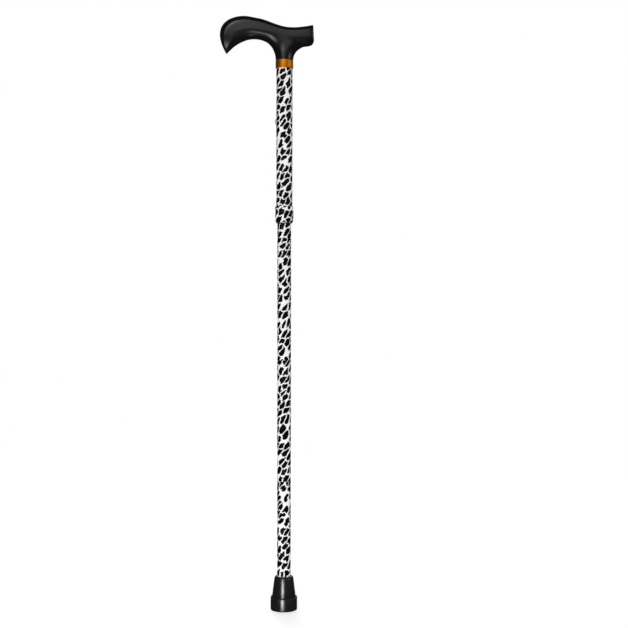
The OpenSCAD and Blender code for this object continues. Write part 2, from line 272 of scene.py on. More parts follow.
# %% [markdown]
# ## The animal print
#
# The tubes are aluminium with a white coat and a printed layer of black animal spots. The spots lean to the
# right, are a little taller than wide, and leave white channels between them. Some have a bite out of one
# side. They could be drawn one by one. Here the tube's surface is unrolled into a flat film, cells of a
# Voronoi texture give the spots, the distance to a cell's edge gives the channels, and the distance to its
# middle rounds the corners. Sliding the film sideways with height makes the spots lean, and noise makes their
# outlines ragged. A real film has a seam where its edges meet, and so has this one, at the back. Where the
# surface isn't the printed wall, as in the bore and on the cut ends, bare metal shows.

# %% The spots
SPOT_ACROSS = 8.2 * MM
SPOT_ALONG = 11.7 * MM
SPOT_LEAN = math.radians(24)
MID_GREY = (0.5, 0.5, 0.5)

# measured in cells of the film, where a spot is about one cell wide and one cell high
SPOT_STRAY = 0.75
SPOT_ROUND = 0.56
CORNER_BLEND = 0.12
CHANNEL_LEAST = 0.035
CHANNEL_MOST = 0.09
INK_EDGE = 0.025
SEAM_GAP = 0.03
SWAY = 0.85
SWAY_BUMPS = 1.5
BITE_PLACE = 0.27
BITE_R = 0.22
NO_BITE_R = -0.1

# each spot draws a chance from 0 to 1, and a bite grows to its full size over this much of it
BITE_SPREAD = 0.15


def spot_ink(tree, place, radius, shift, whole):
    """How much black ink lies at a place: 1 in a spot, 0 in the white channels and at the film's seam.

    A share of the spots is whole, and the others have a bite out of one side."""
    parts = add_node(tree, "ShaderNodeSeparateXYZ", {0: place})
    front = add_node(tree, "ShaderNodeMath", {0: parts.outputs["Y"], 1: -1.0}, operation="MULTIPLY")
    angle = add_node(tree, "ShaderNodeMath", {0: parts.outputs["X"], 1: front}, operation="ARCTAN2")
    wrap = add_node(tree, "ShaderNodeMath", {0: angle, 1: radius}, operation="MULTIPLY")
    lean = {0: parts.outputs["Z"], 1: -math.tan(SPOT_LEAN), 2: wrap}
    across = add_node(tree, "ShaderNodeMath", lean, operation="MULTIPLY_ADD")
    film = add_node(tree, "ShaderNodeCombineXYZ", {"X": across, "Y": parts.outputs["Z"]})
    size = (1 / SPOT_ACROSS, 1 / SPOT_ALONG, 1)
    cells = add_node(tree, "ShaderNodeMapping", {"Vector": film, "Location": shift, "Scale": size})
    noise = add_node(tree, "ShaderNodeTexNoise", {"Vector": cells, "Scale": SWAY_BUMPS, "Detail": 2.0})
    sway = add_node(
        tree, "ShaderNodeVectorMath", {0: noise.outputs["Color"], 1: MID_GREY}, operation="SUBTRACT"
    )
    sway = add_node(tree, "ShaderNodeVectorMath", {0: sway, "Scale": SWAY}, operation="SCALE")
    ragged = add_node(tree, "ShaderNodeVectorMath", {0: cells, 1: sway}, operation="ADD")
    grid = {"Vector": ragged, "Scale": 1.0, "Randomness": SPOT_STRAY}
    edge = add_node(tree, "ShaderNodeTexVoronoi", grid, voronoi_dimensions="2D", feature="DISTANCE_TO_EDGE")
    cell = add_node(tree, "ShaderNodeTexVoronoi", grid, voronoi_dimensions="2D", feature="F1")
    chance = add_node(tree, "ShaderNodeSeparateColor", {0: cell.outputs["Color"]})
    channel = add_node(
        tree,
        "ShaderNodeMapRange",
        {"Value": chance.outputs[0], "To Min": CHANNEL_LEAST, "To Max": CHANNEL_MOST},
    )
    spot = add_node(tree, "ShaderNodeMath", {0: edge, 1: channel}, operation="SUBTRACT")
    corner = add_node(
        tree, "ShaderNodeMath", {0: SPOT_ROUND, 1: cell.outputs["Distance"]}, operation="SUBTRACT"
    )
    spot = add_node(tree, "ShaderNodeMath", {0: spot, 1: corner, 2: CORNER_BLEND}, operation="SMOOTH_MIN")
    inside = add_node(
        tree, "ShaderNodeVectorMath", {0: ragged, 1: cell.outputs["Position"]}, operation="SUBTRACT"
    )
    side = add_node(
        tree, "ShaderNodeVectorMath", {0: cell.outputs["Color"], 1: MID_GREY}, operation="SUBTRACT"
    )
    side = add_node(tree, "ShaderNodeVectorMath", {0: side, 1: (1, 1, 0)}, operation="MULTIPLY")
    side = add_node(tree, "ShaderNodeVectorMath", {0: side}, operation="NORMALIZE")
    side = add_node(tree, "ShaderNodeVectorMath", {0: side, "Scale": BITE_PLACE}, operation="SCALE")
    reach = add_node(tree, "ShaderNodeVectorMath", {0: inside, 1: side}, operation="DISTANCE")
    bite_size = add_node(
        tree,
        "ShaderNodeMapRange",
        {
            "Value": chance.outputs[2],
            "From Min": whole,
            "From Max": whole + BITE_SPREAD,
            "To Min": NO_BITE_R,
            "To Max": BITE_R,
        },
    )
    bite = add_node(tree, "ShaderNodeMath", {0: reach, 1: bite_size}, operation="SUBTRACT")
    left = add_node(tree, "ShaderNodeMath", {0: spot, 1: bite}, operation="MINIMUM")
    behind = add_node(tree, "ShaderNodeMath", {0: wrap}, operation="ABSOLUTE")
    to_seam = add_node(tree, "ShaderNodeMath", {0: math.pi * radius, 1: behind}, operation="SUBTRACT")
    seam = {0: to_seam, 1: 1 / SPOT_ACROSS, 2: -SEAM_GAP}
    seam_gap = add_node(tree, "ShaderNodeMath", seam, operation="MULTIPLY_ADD")
    left = add_node(tree, "ShaderNodeMath", {0: left, 1: seam_gap}, operation="MINIMUM")
    return add_node(tree, "ShaderNodeMapRange", {"Value": left, "From Min": 0.0, "From Max": INK_EDGE})


print("a spot is about", round(SPOT_ACROSS / MM, 1), "by", round(SPOT_ALONG / MM, 1), "mm")

# %% The printed finish
COAT_MOTTLE = 4 * MM
COAT_WHITE = ("#EEEDEE", "#FAF9FA")
INK_BLACK = ("#020203", "#0A080A")
BARE_METAL = ("#B9BCBF", "#CFD1D3")


def printed_aluminium(name, radius, print_from, shift, whole):
    """White enamel with black printed spots over drawn aluminium, bare nearer the axis than print_from.

    The enamel gives a clean white with soft grey edges, and the metal shows pale in the bore and at the
    ends."""
    made, tree = new_material(name)
    place = add_node(tree, "ShaderNodeTexCoord").outputs["Object"]
    across = add_node(tree, "ShaderNodeVectorMath", {0: place, 1: (1, 1, 0)}, operation="MULTIPLY")
    reach = add_node(tree, "ShaderNodeVectorMath", {0: across}, operation="LENGTH")
    printed = add_node(tree, "ShaderNodeMath", {0: reach, 1: print_from}, operation="GREATER_THAN")
    mottle = add_node(tree, "ShaderNodeTexNoise", {"Vector": place, "Scale": 1 / COAT_MOTTLE, "Detail": 3.0})
    tones = []
    for dark, light in (COAT_WHITE, INK_BLACK, BARE_METAL):
        mix = {"Factor": mottle, "A": srgb(dark), "B": srgb(light)}
        tones.append(add_node(tree, "ShaderNodeMix", mix, data_type="RGBA"))
    white, black, metal = tones
    ink = spot_ink(tree, place, radius, shift, whole)
    coat = add_node(tree, "ShaderNodeMix", {"Factor": ink, "A": white, "B": black}, data_type="RGBA")
    colour = add_node(tree, "ShaderNodeMix", {"Factor": printed, "A": metal, "B": coat}, data_type="RGBA")
    bare = add_node(tree, "ShaderNodeMath", {0: 1.0, 1: printed}, operation="SUBTRACT")
    rough = add_node(tree, "ShaderNodeMapRange", {"Value": mottle, "To Min": 0.34, "To Max": 0.46})
    shader = add_node(
        tree,
        "ShaderNodeBsdfPrincipled",
        {"Base Color": colour, "Metallic": bare, "Roughness": rough, "Specular IOR Level": 0.06},
    )
    add_node(tree, "ShaderNodeOutputMaterial", {"Surface": shader})
    return made


print("the coat is mottled every", round(COAT_MOTTLE / MM, 1), "mm")

# %% [markdown]
# ## The tubes
#
# Each tube is a drawn wall whose cut ends are broken by a file, so that no edge is razor sharp. It could be a
# cylinder with a hole cut through it. Here the wall's outline is drawn by extruding one point, its corners
# are rounded, and the outline is spun round the shaft. That is how a lathe would make it, and it gives clean
# rings of faces. The height holes are then drilled with a Boolean modifier, each one between two rings, so
# that the cut faces stay short.

# %% Drawing and spinning
SPIN_STEPS = 96
MERGE = 0.001 * MM
SMOOTH_ANGLE = math.radians(40)


def start_piece(name):
    """An empty mesh at the origin, open for editing."""
    bpy.ops.object.select_all(action="DESELECT")
    bpy.ops.mesh.primitive_plane_add(size=MM)
    piece = bpy.context.active_object
    piece.name = name
    bpy.ops.object.mode_set(mode="EDIT")
    bpy.ops.mesh.select_mode(type="VERT")
    bpy.ops.mesh.delete(type="VERT")
    return piece


def draw(points):
    """Extrudes one point through (x, z) places in the plane of the cane."""
    bpy.ops.mesh.primitive_plane_add(size=MM)
    bpy.ops.mesh.merge(type="CENTER")
    bpy.ops.transform.translate(value=(points[0][0], 0, points[0][1]))
    for (x0, z0), (x1, z1) in zip(points, points[1:]):
        bpy.ops.mesh.extrude_vertices_move(TRANSFORM_OT_translate={"value": (x1 - x0, 0, z1 - z0)})
    bpy.ops.mesh.select_all(action="SELECT")
    bpy.ops.mesh.remove_doubles(threshold=MERGE)


def take(piece):
    """Makes one piece the only selected one, in object mode."""
    bpy.ops.object.mode_set(mode="OBJECT")
    bpy.ops.object.select_all(action="DESELECT")
    piece.select_set(True)
    bpy.context.view_layer.objects.active = piece


def shade(piece):
    """Shades a piece smooth, apart from its sharp edges."""
    take(piece)
    bpy.ops.object.shade_smooth_by_angle(angle=SMOOTH_ANGLE)


def apply_modifier(piece, kind, **settings):
    """Adds one modifier with its settings, and applies it."""
    take(piece)
    added = piece.modifiers.new(kind.lower(), kind)
    for name, value in settings.items():
        setattr(added, name, value)
    bpy.ops.object.modifier_apply(modifier=added.name)


def lathe(name, outline, edge=0.0, steps=SPIN_STEPS):
    """Spins an outline of (radius, height) points round the shaft, with its corners rounded first."""
    piece = start_piece(name)
    draw(outline)
    if edge:
        bpy.ops.mesh.bevel(offset=edge, segments=3, affect="VERTICES")
        bpy.ops.mesh.select_all(action="SELECT")
    bpy.ops.mesh.spin(steps=steps, angle=2 * math.pi, center=(0, 0, 0), axis=(0, 0, 1))
    bpy.ops.mesh.select_all(action="SELECT")
    bpy.ops.mesh.remove_doubles(threshold=MERGE)
    bpy.ops.mesh.normals_make_consistent(inside=False)
    shade(piece)
    return piece


def seat(piece, node, material):
    """Gives a finished piece its material, and lets it stand for a CAD node on that node's body."""
    piece.data.materials.clear()
    piece.data.materials.append(material)
    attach(piece, nodes[node]["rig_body"])
    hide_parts(node)


print("a full turn has", SPIN_STEPS, "steps")

# %% The five tubes
FOLD_TUBE_WALL = 1.3 * MM
UPPER_TUBE_WALL = 1.2 * MM
TUBE_EDGE = 0.3 * MM
INK_DEPTH = 0.32 * MM
HOLE_R = 3.2 * MM
HOLE_PITCH = 25.4 * MM
HOLE_COUNT = 5
HOLE_DROP = 72.4 * MM
HOLE_SIDES = 48
HOLE_RING = 4.5 * MM

fold_tube_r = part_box("section_3_tube")[1].x
fold_bore_r = fold_tube_r - FOLD_TUBE_WALL
upper_tube_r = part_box("upper_tube")[1].x
upper_bore_r = upper_tube_r - UPPER_TUBE_WALL
band_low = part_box("collar_band")[0].z
neck_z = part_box("collar_band")[1].z
button_z = band_low - HOLE_DROP


def drill(piece, height):
    """Cuts one round hole through the -X side of a tube, between two rings."""
    take(piece)
    bpy.ops.object.mode_set(mode="EDIT")
    for ring_z in (height - HOLE_RING, height + HOLE_RING):
        bpy.ops.mesh.select_all(action="SELECT")
        bpy.ops.mesh.bisect(plane_co=(0, 0, ring_z), plane_no=(0, 0, 1))
    bpy.ops.object.mode_set(mode="OBJECT")
    bpy.ops.object.select_all(action="DESELECT")
    place = (-upper_tube_r, 0, height)
    quarter = (0, math.pi / 2, 0)
    bpy.ops.mesh.primitive_cylinder_add(
        vertices=HOLE_SIDES, radius=HOLE_R, depth=upper_tube_r, location=place, rotation=quarter
    )
    drill_bit = bpy.context.active_object
    # half a side of turn keeps the corners of the bit off the edges of the tube
    drill_bit.rotation_euler.rotate_axis("Z", math.pi / HOLE_SIDES)
    apply_modifier(piece, "BOOLEAN", operation="DIFFERENCE", object=drill_bit)
    bpy.data.objects.remove(drill_bit)


def tube(node, outer_r, bore_r, shift, whole, holes=()):
    """A printed tube in place of a CAD tube, with holes at the given heights."""
    low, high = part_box(node)[0].z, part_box(node)[1].z
    outline = [(bore_r, low), (outer_r, low), (outer_r, high), (bore_r, high), (bore_r, low)]
    piece = lathe(node + "_printed", outline, TUBE_EDGE)
    for height in holes:
        drill(piece, height)
    shade(piece)
    finish = printed_aluminium("printed_aluminium_" + node, outer_r, outer_r - INK_DEPTH, shift, whole)
    seat(piece, node, finish)


hole_heights = [button_z - i * HOLE_PITCH for i in range(HOLE_COUNT)]
tube("upper_tube", upper_tube_r, upper_bore_r, (0.3, 0.1, 0.2), 0.95, hole_heights)
tube("inner_tube", fold_tube_r, fold_bore_r, (2.4, 0.7, 1.1), 0.35, [button_z])
tube("section_2_tube", fold_tube_r, fold_bore_r, (4.2, 1.3, 0.5), 0.35)
tube("section_3_tube", fold_tube_r, fold_bore_r, (6.1, 2.8, 3.4), 0.4)
tube("section_4_tube", fold_tube_r, fold_bore_r, (8.7, 4.9, 2.2), 0.4)

# %% [markdown]
# ## The lock nut
#
# A ribbed nut at the foot of the upper tube squeezes a collet on the inner tube. It carries the same print.
# Its ribs could be twelve blocks pushed into a ring. Here the ring is spun, the faces under each rib are
# selected by their angle round the shaft and extruded outwards together, and a Bevel modifier softens what
# the hand feels.

# %% The ribbed nut
NUT_LIP = 2.2 * MM
NUT_TAPER = (1.35 * MM, 2.7 * MM)
NUT_TOP_EDGE = 0.45 * MM
NUT_BORE_R = 11.18 * MM
NUT_LIP_R = 9.7 * MM
RIB_RISE = 0.45 * MM
RIB_COUNT = 12
RIB_HALF_ANGLE = 7.5
RIB_EDGE = 0.18 * MM
RIB_CORNER = math.radians(35)
WALL_SLACK = 0.1 * MM
UPRIGHT = 0.1
NUT_BARE = 0.2 * MM


def pick_faces(piece, wanted):
    """Opens a piece for editing, with only the faces selected for which wanted(face) is true."""
    take(piece)
    bpy.ops.object.mode_set(mode="EDIT")
    bpy.ops.mesh.select_mode(type="FACE")
    bpy.ops.mesh.select_all(action="DESELECT")
    bpy.ops.object.mode_set(mode="OBJECT")
    for face in piece.data.polygons:
        face.select = wanted(face)
    bpy.ops.object.mode_set(mode="EDIT")


nut_low, nut_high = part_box("lock_nut")[0].z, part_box("lock_nut")[1].z
nut_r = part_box("lock_nut")[1].x - RIB_RISE
nut = lathe(
    "lock_nut_ribbed",
    [
        (NUT_LIP_R, nut_low),
        (nut_r - NUT_TAPER[0], nut_low),
        (nut_r, nut_low + NUT_TAPER[1]),
        (nut_r, nut_high - NUT_TOP_EDGE),
        (nut_r - NUT_TOP_EDGE, nut_high),
        (NUT_BORE_R, nut_high),
        (NUT_BORE_R, nut_low + NUT_LIP),
        (NUT_LIP_R, nut_low + NUT_LIP),
        (NUT_LIP_R, nut_low),
    ],
)


def under_rib(face):
    """True for a face of the nut's outer wall that one of the ribs stands on."""
    place = face.center
    from_rib = math.degrees(math.atan2(place.y, place.x)) % (360 / RIB_COUNT)
    beside = min(from_rib, 360 / RIB_COUNT - from_rib)
    outer_wall = place.xy.length > nut_r - WALL_SLACK and abs(face.normal.z) < UPRIGHT
    return outer_wall and beside < RIB_HALF_ANGLE


pick_faces(nut, under_rib)
bpy.ops.mesh.extrude_region_shrink_fatten(TRANSFORM_OT_shrink_fatten={"value": RIB_RISE})
apply_modifier(nut, "BEVEL", width=RIB_EDGE, segments=2, limit_method="ANGLE", angle_limit=RIB_CORNER)
shade(nut)
nut_finish = printed_aluminium("printed_nut", nut_r, NUT_BORE_R + NUT_BARE, (3.7, 8.4, 0.9), 0.8)
seat(nut, "lock_nut", nut_finish)
nut_reach = max(v.co.xy.length for v in nut.data.vertices)
print("nut radius over its ribs in mm", round(nut_reach / MM, 2))

# %% [markdown]
# ## The gold band
#
# A gold-coloured ring covers the joint between the handle and the upper tube. It is a small turned part with
# rounded edges. It could be a cylinder with a bevel, but it is spun like the tubes, so that its wall and its
# bore are one. The finish is turned brass with an orange lacquer: a satin, metallic shader whose colour and
# roughness change in fine rings, as turning marks do.

# %% The band
BAND_BORE_R = 11.15 * MM
BAND_EDGE = 0.4 * MM
TURNING_MARK = 0.5 * MM
TURNING_SWEEP = 100 * MM


def lacquered_brass():
    """Turned brass under an orange lacquer: a satin metal, brown at its sides and bright in the middle."""
    made, tree = new_material("lacquered_brass")
    place = add_node(tree, "ShaderNodeTexCoord").outputs["Object"]
    size = (1 / TURNING_SWEEP, 1 / TURNING_SWEEP, 1 / TURNING_MARK)
    rings = add_node(tree, "ShaderNodeMapping", {"Vector": place, "Scale": size})
    marks = add_node(tree, "ShaderNodeTexNoise", {"Vector": rings, "Scale": 1.0, "Detail": 2.0})
    colour = add_node(
        tree, "ShaderNodeMix", {"Factor": marks, "A": srgb("#D07A16"), "B": srgb("#DE881E")}, data_type="RGBA"
    )
    rough = add_node(tree, "ShaderNodeMapRange", {"Value": marks, "To Min": 0.5, "To Max": 0.56})
    shader = add_node(
        tree, "ShaderNodeBsdfPrincipled", {"Base Color": colour, "Metallic": 1.0, "Roughness": rough}
    )
    add_node(tree, "ShaderNodeOutputMaterial", {"Surface": shader})
    return made


band_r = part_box("collar_band")[1].x
band = lathe(
    "collar_band_polished",
    [
        (BAND_BORE_R, band_low),
        (band_r, band_low),
        (band_r, neck_z),
        (BAND_BORE_R, neck_z),
        (BAND_BORE_R, band_low),
    ],
    BAND_EDGE,
)
seat(band, "collar_band", lacquered_brass())

# %% [markdown]
# ## The handle
#
# The derby handle is one moulding of black plastic. A long grip swells over the hand, arches down into a
# rounded nose in front and ends flat behind, and a neck spreads from the band up into it. It could be
# sculpted. Here it is lofted: a row of cards is laid across the grip, from the nose to the tail. Their
# corners are rounded, a little less below than above, and neighbouring outlines are bridged. The neck is a
# second loft. A voxel remesh joins the two, and smoothing passes let the neck flow into the grip as it does
# in a mould.

# %% The grip's stations
HANDLE_LEN = 129 * MM
HANDLE_RISE = 60 * MM
HANDLE_THICK = 27 * MM
NOSE_REACH = 88.5 * MM
STATION_STEPS = 3

# each row: top x, top z, underside x, underside z and width, as shares of the handle's sizes
GRIP_SHARES = [
    (0.061, 0.162, 0.071, 0.135, 0.30),
    (0.029, 0.302, 0.105, 0.212, 0.58),
    (0.008, 0.443, 0.147, 0.295, 0.76),
    (0.000, 0.588, 0.191, 0.362, 0.87),
    (0.018, 0.750, 0.236, 0.412, 0.93),
    (0.070, 0.882, 0.279, 0.447, 0.97),
    (0.153, 0.967, 0.321, 0.467, 0.99),
    (0.260, 0.998, 0.360, 0.475, 1.00),
    (0.371, 0.962, 0.407, 0.468, 1.00),
    (0.467, 0.917, 0.476, 0.442, 0.99),
    (0.562, 0.843, 0.562, 0.402, 0.97),
    (0.638, 0.787, 0.638, 0.372, 0.95),
    (0.714, 0.750, 0.714, 0.344, 0.94),
    (0.799, 0.743, 0.799, 0.318, 0.94),
    (0.880, 0.758, 0.880, 0.305, 0.93),
    (0.940, 0.777, 0.945, 0.316, 0.90),
    (0.972, 0.789, 0.983, 0.358, 0.84),
    (0.992, 0.797, 1.000, 0.437, 0.74),
]


def smooth_rows(rows, steps):
    """More rows, on a smooth curve through the given ones."""
    held = np.array([rows[0], *rows, rows[-1]])
    made = []
    for a, b, c, d in zip(held, held[1:], held[2:], held[3:]):
        for t in np.arange(steps) / steps:
            bend = t**2 * (a - 2.5 * b + 2 * c - d / 2) + t**3 * (1.5 * (b - c) + (d - a) / 2)
            made.append(b + t * (c - a) / 2 + bend)
    return [*made, held[-1]]


stations = smooth_rows(GRIP_SHARES, STATION_STEPS)
print("stations along the grip", len(stations))

# %% The grip
UNDER_ROUND = 41
TOP_ROUND = 49
CARD_SEGMENTS = 8
UNDER_CORNERS = (0, 2)


def loft():
    """Bridges all the outlines of the open mesh, and closes both ends."""
    bpy.ops.mesh.select_all(action="SELECT")
    bpy.ops.mesh.bridge_edge_loops()
    bpy.ops.mesh.select_all(action="DESELECT")
    bpy.ops.mesh.select_mode(type="EDGE")
    bpy.ops.mesh.select_non_manifold()
    bpy.ops.mesh.edge_face_add()


handle = start_piece("handle_moulded")
for top_x, top_z, under_x, under_z, width in stations:
    top = Vector((top_x * HANDLE_LEN - NOSE_REACH, 0, neck_z + top_z * HANDLE_RISE))
    under = Vector((under_x * HANDLE_LEN - NOSE_REACH, 0, neck_z + under_z * HANDLE_RISE))
    middle = (top + under) / 2
    up = top - under
    bpy.ops.mesh.primitive_plane_add(size=1, location=middle)
    bpy.ops.transform.resize(value=(up.length, width * HANDLE_THICK, 1), center_override=middle)
    bpy.ops.transform.rotate(value=math.atan2(up.z, up.x), orient_axis="Y", center_override=middle)
bpy.ops.object.mode_set(mode="OBJECT")
for vertex in handle.data.vertices:
    vertex.select = vertex.index % 4 in UNDER_CORNERS
bpy.ops.object.mode_set(mode="EDIT")
for percent in (UNDER_ROUND, TOP_ROUND):
    bpy.ops.mesh.bevel(
        affect="VERTICES",
        offset_type="PERCENT",
        offset=0,
        offset_pct=percent,
        segments=CARD_SEGMENTS,
        profile=0.5,
    )
    bpy.ops.mesh.select_all(action="INVERT")
bpy.ops.mesh.select_all(action="SELECT")
bpy.ops.mesh.delete(type="ONLY_FACE")
loft()
bpy.ops.mesh.select_all(action="SELECT")
bpy.ops.mesh.normals_make_consistent(inside=False)
bpy.ops.object.mode_set(mode="OBJECT")
print("faces of the grip", len(handle.data.polygons))

# %% The neck and the stem
NECK_FRONT_FLARE = (27 * MM, 28.3 * MM)
NECK_BACK_FLARE = (19 * MM, 18.3 * MM)
NECK_HIGH = 27.9 * MM
NECK_CAP = 5 * MM
NECK_STEPS = 10
FLARE_LIMIT = 0.985
NECK_WIDE = 0.93
NECK_CAP_SHARE = 0.97
NECK_SIDES = 64
STEM_R = 9.6 * MM
STEM_LEN = 36 * MM
STEM_OVERLAP = 2 * MM


def flare(height, size):
    """How far the neck has spread at a height above the band: a quarter of an ellipse."""
    wide, high = size
    return wide * (1 - math.sqrt(1 - min(FLARE_LIMIT, height / high) ** 2))


def neck_ring(height, lift=0.0, share=1.0):
    """One oval ring of the neck."""
    front = -band_r - flare(height, NECK_FRONT_FLARE)
    back = band_r + flare(height, NECK_BACK_FLARE)
    rise = min(1, height / NECK_FRONT_FLARE[1])
    half_width = band_r + rise * (NECK_WIDE * HANDLE_THICK / 2 - band_r)
    place = ((front + back) / 2, 0, neck_z + height + lift)
    bpy.ops.mesh.primitive_circle_add(vertices=NECK_SIDES, radius=1, location=place)
    size = ((back - front) / 2, half_width * share, 1)
    bpy.ops.transform.resize(value=size, center_override=place)


neck = start_piece("neck")
for step in range(NECK_STEPS + 1):
    neck_ring(NECK_HIGH * step / NECK_STEPS)
neck_ring(NECK_HIGH, NECK_CAP, NECK_CAP_SHARE)
loft()
stem_place = (0, 0, neck_z - STEM_LEN / 2 + STEM_OVERLAP / 2)
bpy.ops.mesh.primitive_cylinder_add(
    vertices=NECK_SIDES, radius=STEM_R, depth=STEM_LEN + STEM_OVERLAP, location=stem_place
)
bpy.ops.mesh.select_all(action="SELECT")
bpy.ops.mesh.normals_make_consistent(inside=False)
bpy.ops.object.mode_set(mode="OBJECT")
print("faces of the neck and stem", len(neck.data.polygons))

# %% Join and smooth
VOXEL = 0.6 * MM
SEAM_LOW = 10 * MM
SEAM_HIGH = 40 * MM
SEAM_FRONT = -56 * MM
SEAM_BACK = 38 * MM
SEAM_RAMP = 10 * MM
FIRST_PASSES = 10
SEAM_PASSES = 220

take(neck)
handle.select_set(True)
bpy.context.view_layer.objects.active = handle
bpy.ops.object.join()
apply_modifier(handle, "REMESH", mode="VOXEL", voxel_size=VOXEL)
apply_modifier(handle, "SMOOTH", factor=0.5, iterations=FIRST_PASSES)
seam = handle.vertex_groups.new(name="seam")
for vertex in handle.data.vertices:
    height = vertex.co.z - neck_z
    inside = min(height - SEAM_LOW, SEAM_HIGH - height, vertex.co.x - SEAM_FRONT, SEAM_BACK - vertex.co.x)
    if inside > 0:
        seam.add([vertex.index], min(1, inside / SEAM_RAMP), "REPLACE")
apply_modifier(handle, "SMOOTH", factor=0.5, iterations=SEAM_PASSES, vertex_group="seam")
bpy.ops.object.shade_smooth()
print("faces of the handle", len(handle.data.polygons))

# %% [markdown]
# The plastic is ABS from a mould with a lightly etched inside. The etching gives a satin surface: soft wide
# highlights and a faint grain.

# %% The handle's plastic
ETCH_GRAIN = 0.7 * MM
FLOW_CLOUD = 18 * MM


def satin_abs():
    """Satin black ABS: near black, with a grey sheen where it mirrors the soft box."""
    made, tree = new_material("satin_abs")
    place = add_node(tree, "ShaderNodeTexCoord").outputs["Object"]
    cloud = add_node(tree, "ShaderNodeTexNoise", {"Vector": place, "Scale": 1 / FLOW_CLOUD, "Detail": 2.0})
    grain = add_node(tree, "ShaderNodeTexNoise", {"Vector": place, "Scale": 1 / ETCH_GRAIN, "Detail": 2.0})
    colour = add_node(
        tree, "ShaderNodeMix", {"Factor": cloud, "A": srgb("#080808"), "B": srgb("#0E0E0F")}, data_type="RGBA"
    )
    rough = add_node(tree, "ShaderNodeMapRange", {"Value": grain, "To Min": 0.26, "To Max": 0.33})
    bump = add_node(tree, "ShaderNodeBump", {"Height": grain, "Strength": 0.08, "Distance": 0.05 * MM})
    shader = add_node(
        tree,
        "ShaderNodeBsdfPrincipled",
        {
            "Base Color": colour,
            "Roughness": rough,
            "IOR": 1.53,
            "Specular IOR Level": 0.35,
            "Normal": bump,
        },
    )
    add_node(tree, "ShaderNodeOutputMaterial", {"Surface": shader})
    return made


seat(handle, "handle", satin_abs())

# %% [markdown]
# ## The ferrule
#
# The foot is a thick rubber ferrule: a wide foot with rounded edges and ring grooves in its tread, and a boot
# that tapers up to a rounded shoulder round the tube. It could be stacked from cylinders and cones. Here the
# whole section, inside and out, is one outline, so that the roundings meet without a seam.

# %% The ferrule's outline
FOOT_R = 18.5 * MM
FOOT_HIGH = 18 * MM
FOOT_EDGE = 1.2 * MM
LEDGE_EDGE = 0.8 * MM
BOOT_R = 16.4 * MM
BOOT_LOW = 18.9 * MM
MOUTH_R = 13.25 * MM
MOUTH_HIGH = 47 * MM
SHOULDER_R = 3.2 * MM
BOOT_SLOPE = 8
SOCKET_R = 9.55 * MM
SOCKET_EDGE = 0.2 * MM
SOCKET_FLOOR = 7 * MM
TREAD_RINGS = (4.94 * MM, 9.89 * MM, 14.83 * MM)
TREAD_HALF = 0.8 * MM
TREAD_FLOOR_HALF = 0.64 * MM
TREAD_DEEP = 2 * MM
CREASE = 0.45 * MM
CREASE_INSIDE = 0.27 * MM


def arc(centre, radius, first, last, steps):
    """Points on part of a circle, between two angles in degrees."""
    angles = np.radians(np.linspace(first, last, steps + 1))
    return [(centre[0] + radius * math.cos(a), centre[1] + radius * math.sin(a)) for a in angles]


tread = [(0, 0)]
for ring in TREAD_RINGS:
    tread += [(ring - TREAD_HALF, 0), (ring - TREAD_FLOOR_HALF, TREAD_DEEP)]
    tread += [(ring + TREAD_FLOOR_HALF, TREAD_DEEP), (ring + TREAD_HALF, 0)]
foot = arc((FOOT_R - FOOT_EDGE, FOOT_EDGE), FOOT_EDGE, -90, 0, steps=6)
foot += arc((FOOT_R - LEDGE_EDGE, FOOT_HIGH - LEDGE_EDGE), LEDGE_EDGE, 0, 90, steps=5)
crease = [(BOOT_R + CREASE, FOOT_HIGH), (BOOT_R, FOOT_HIGH - CREASE), (BOOT_R - CREASE_INSIDE, FOOT_HIGH)]
boot = [(BOOT_R, BOOT_LOW)]
boot += arc((MOUTH_R - SHOULDER_R, MOUTH_HIGH - SHOULDER_R), SHOULDER_R, BOOT_SLOPE, 90, steps=10)
socket = [(SOCKET_R + SOCKET_EDGE, MOUTH_HIGH), (SOCKET_R, MOUTH_HIGH - SOCKET_EDGE)]
socket += [(SOCKET_R, SOCKET_FLOOR), (0, SOCKET_FLOOR)]
ferrule_outline = tread + foot + crease + boot + socket
ferrule = lathe("ferrule_moulded", ferrule_outline)
print("ferrule outline", len(ferrule_outline), "points")

# %% The ferrule's rubber
RUBBER_GRAIN = 0.6 * MM


def moulded_rubber():
    """Vulcanised rubber: deep black and smooth enough to hold one narrow, bright upright streak."""
    made, tree = new_material("moulded_rubber")
    place = add_node(tree, "ShaderNodeTexCoord").outputs["Object"]
    grain = add_node(tree, "ShaderNodeTexNoise", {"Vector": place, "Scale": 1 / RUBBER_GRAIN, "Detail": 3.0})
    colour = add_node(
        tree, "ShaderNodeMix", {"Factor": grain, "A": srgb("#131212"), "B": srgb("#1A1818")}, data_type="RGBA"
    )
    rough = add_node(tree, "ShaderNodeMapRange", {"Value": grain, "To Min": 0.3, "To Max": 0.33})
    bump = add_node(tree, "ShaderNodeBump", {"Height": grain, "Strength": 0.01, "Distance": 0.05 * MM})
    shader = add_node(
        tree,
        "ShaderNodeBsdfPrincipled",
        {"Base Color": colour, "Roughness": rough, "IOR": 1.52, "Normal": bump},
    )
    add_node(tree, "ShaderNodeOutputMaterial", {"Surface": shader})
    return made


seat(ferrule, "ferrule", moulded_rubber())

# %% [markdown]
# ## The snap button
#
# A bent strip of spring steel inside the inner tube pushes a round button out through the height hole. The
# strip could be a curve with a width. Here its line is drawn through a half circle, extruded sideways into a
# ribbon and thickened with a Solidify modifier. The button is spun upright, turned on its side and joined to
# the strip.

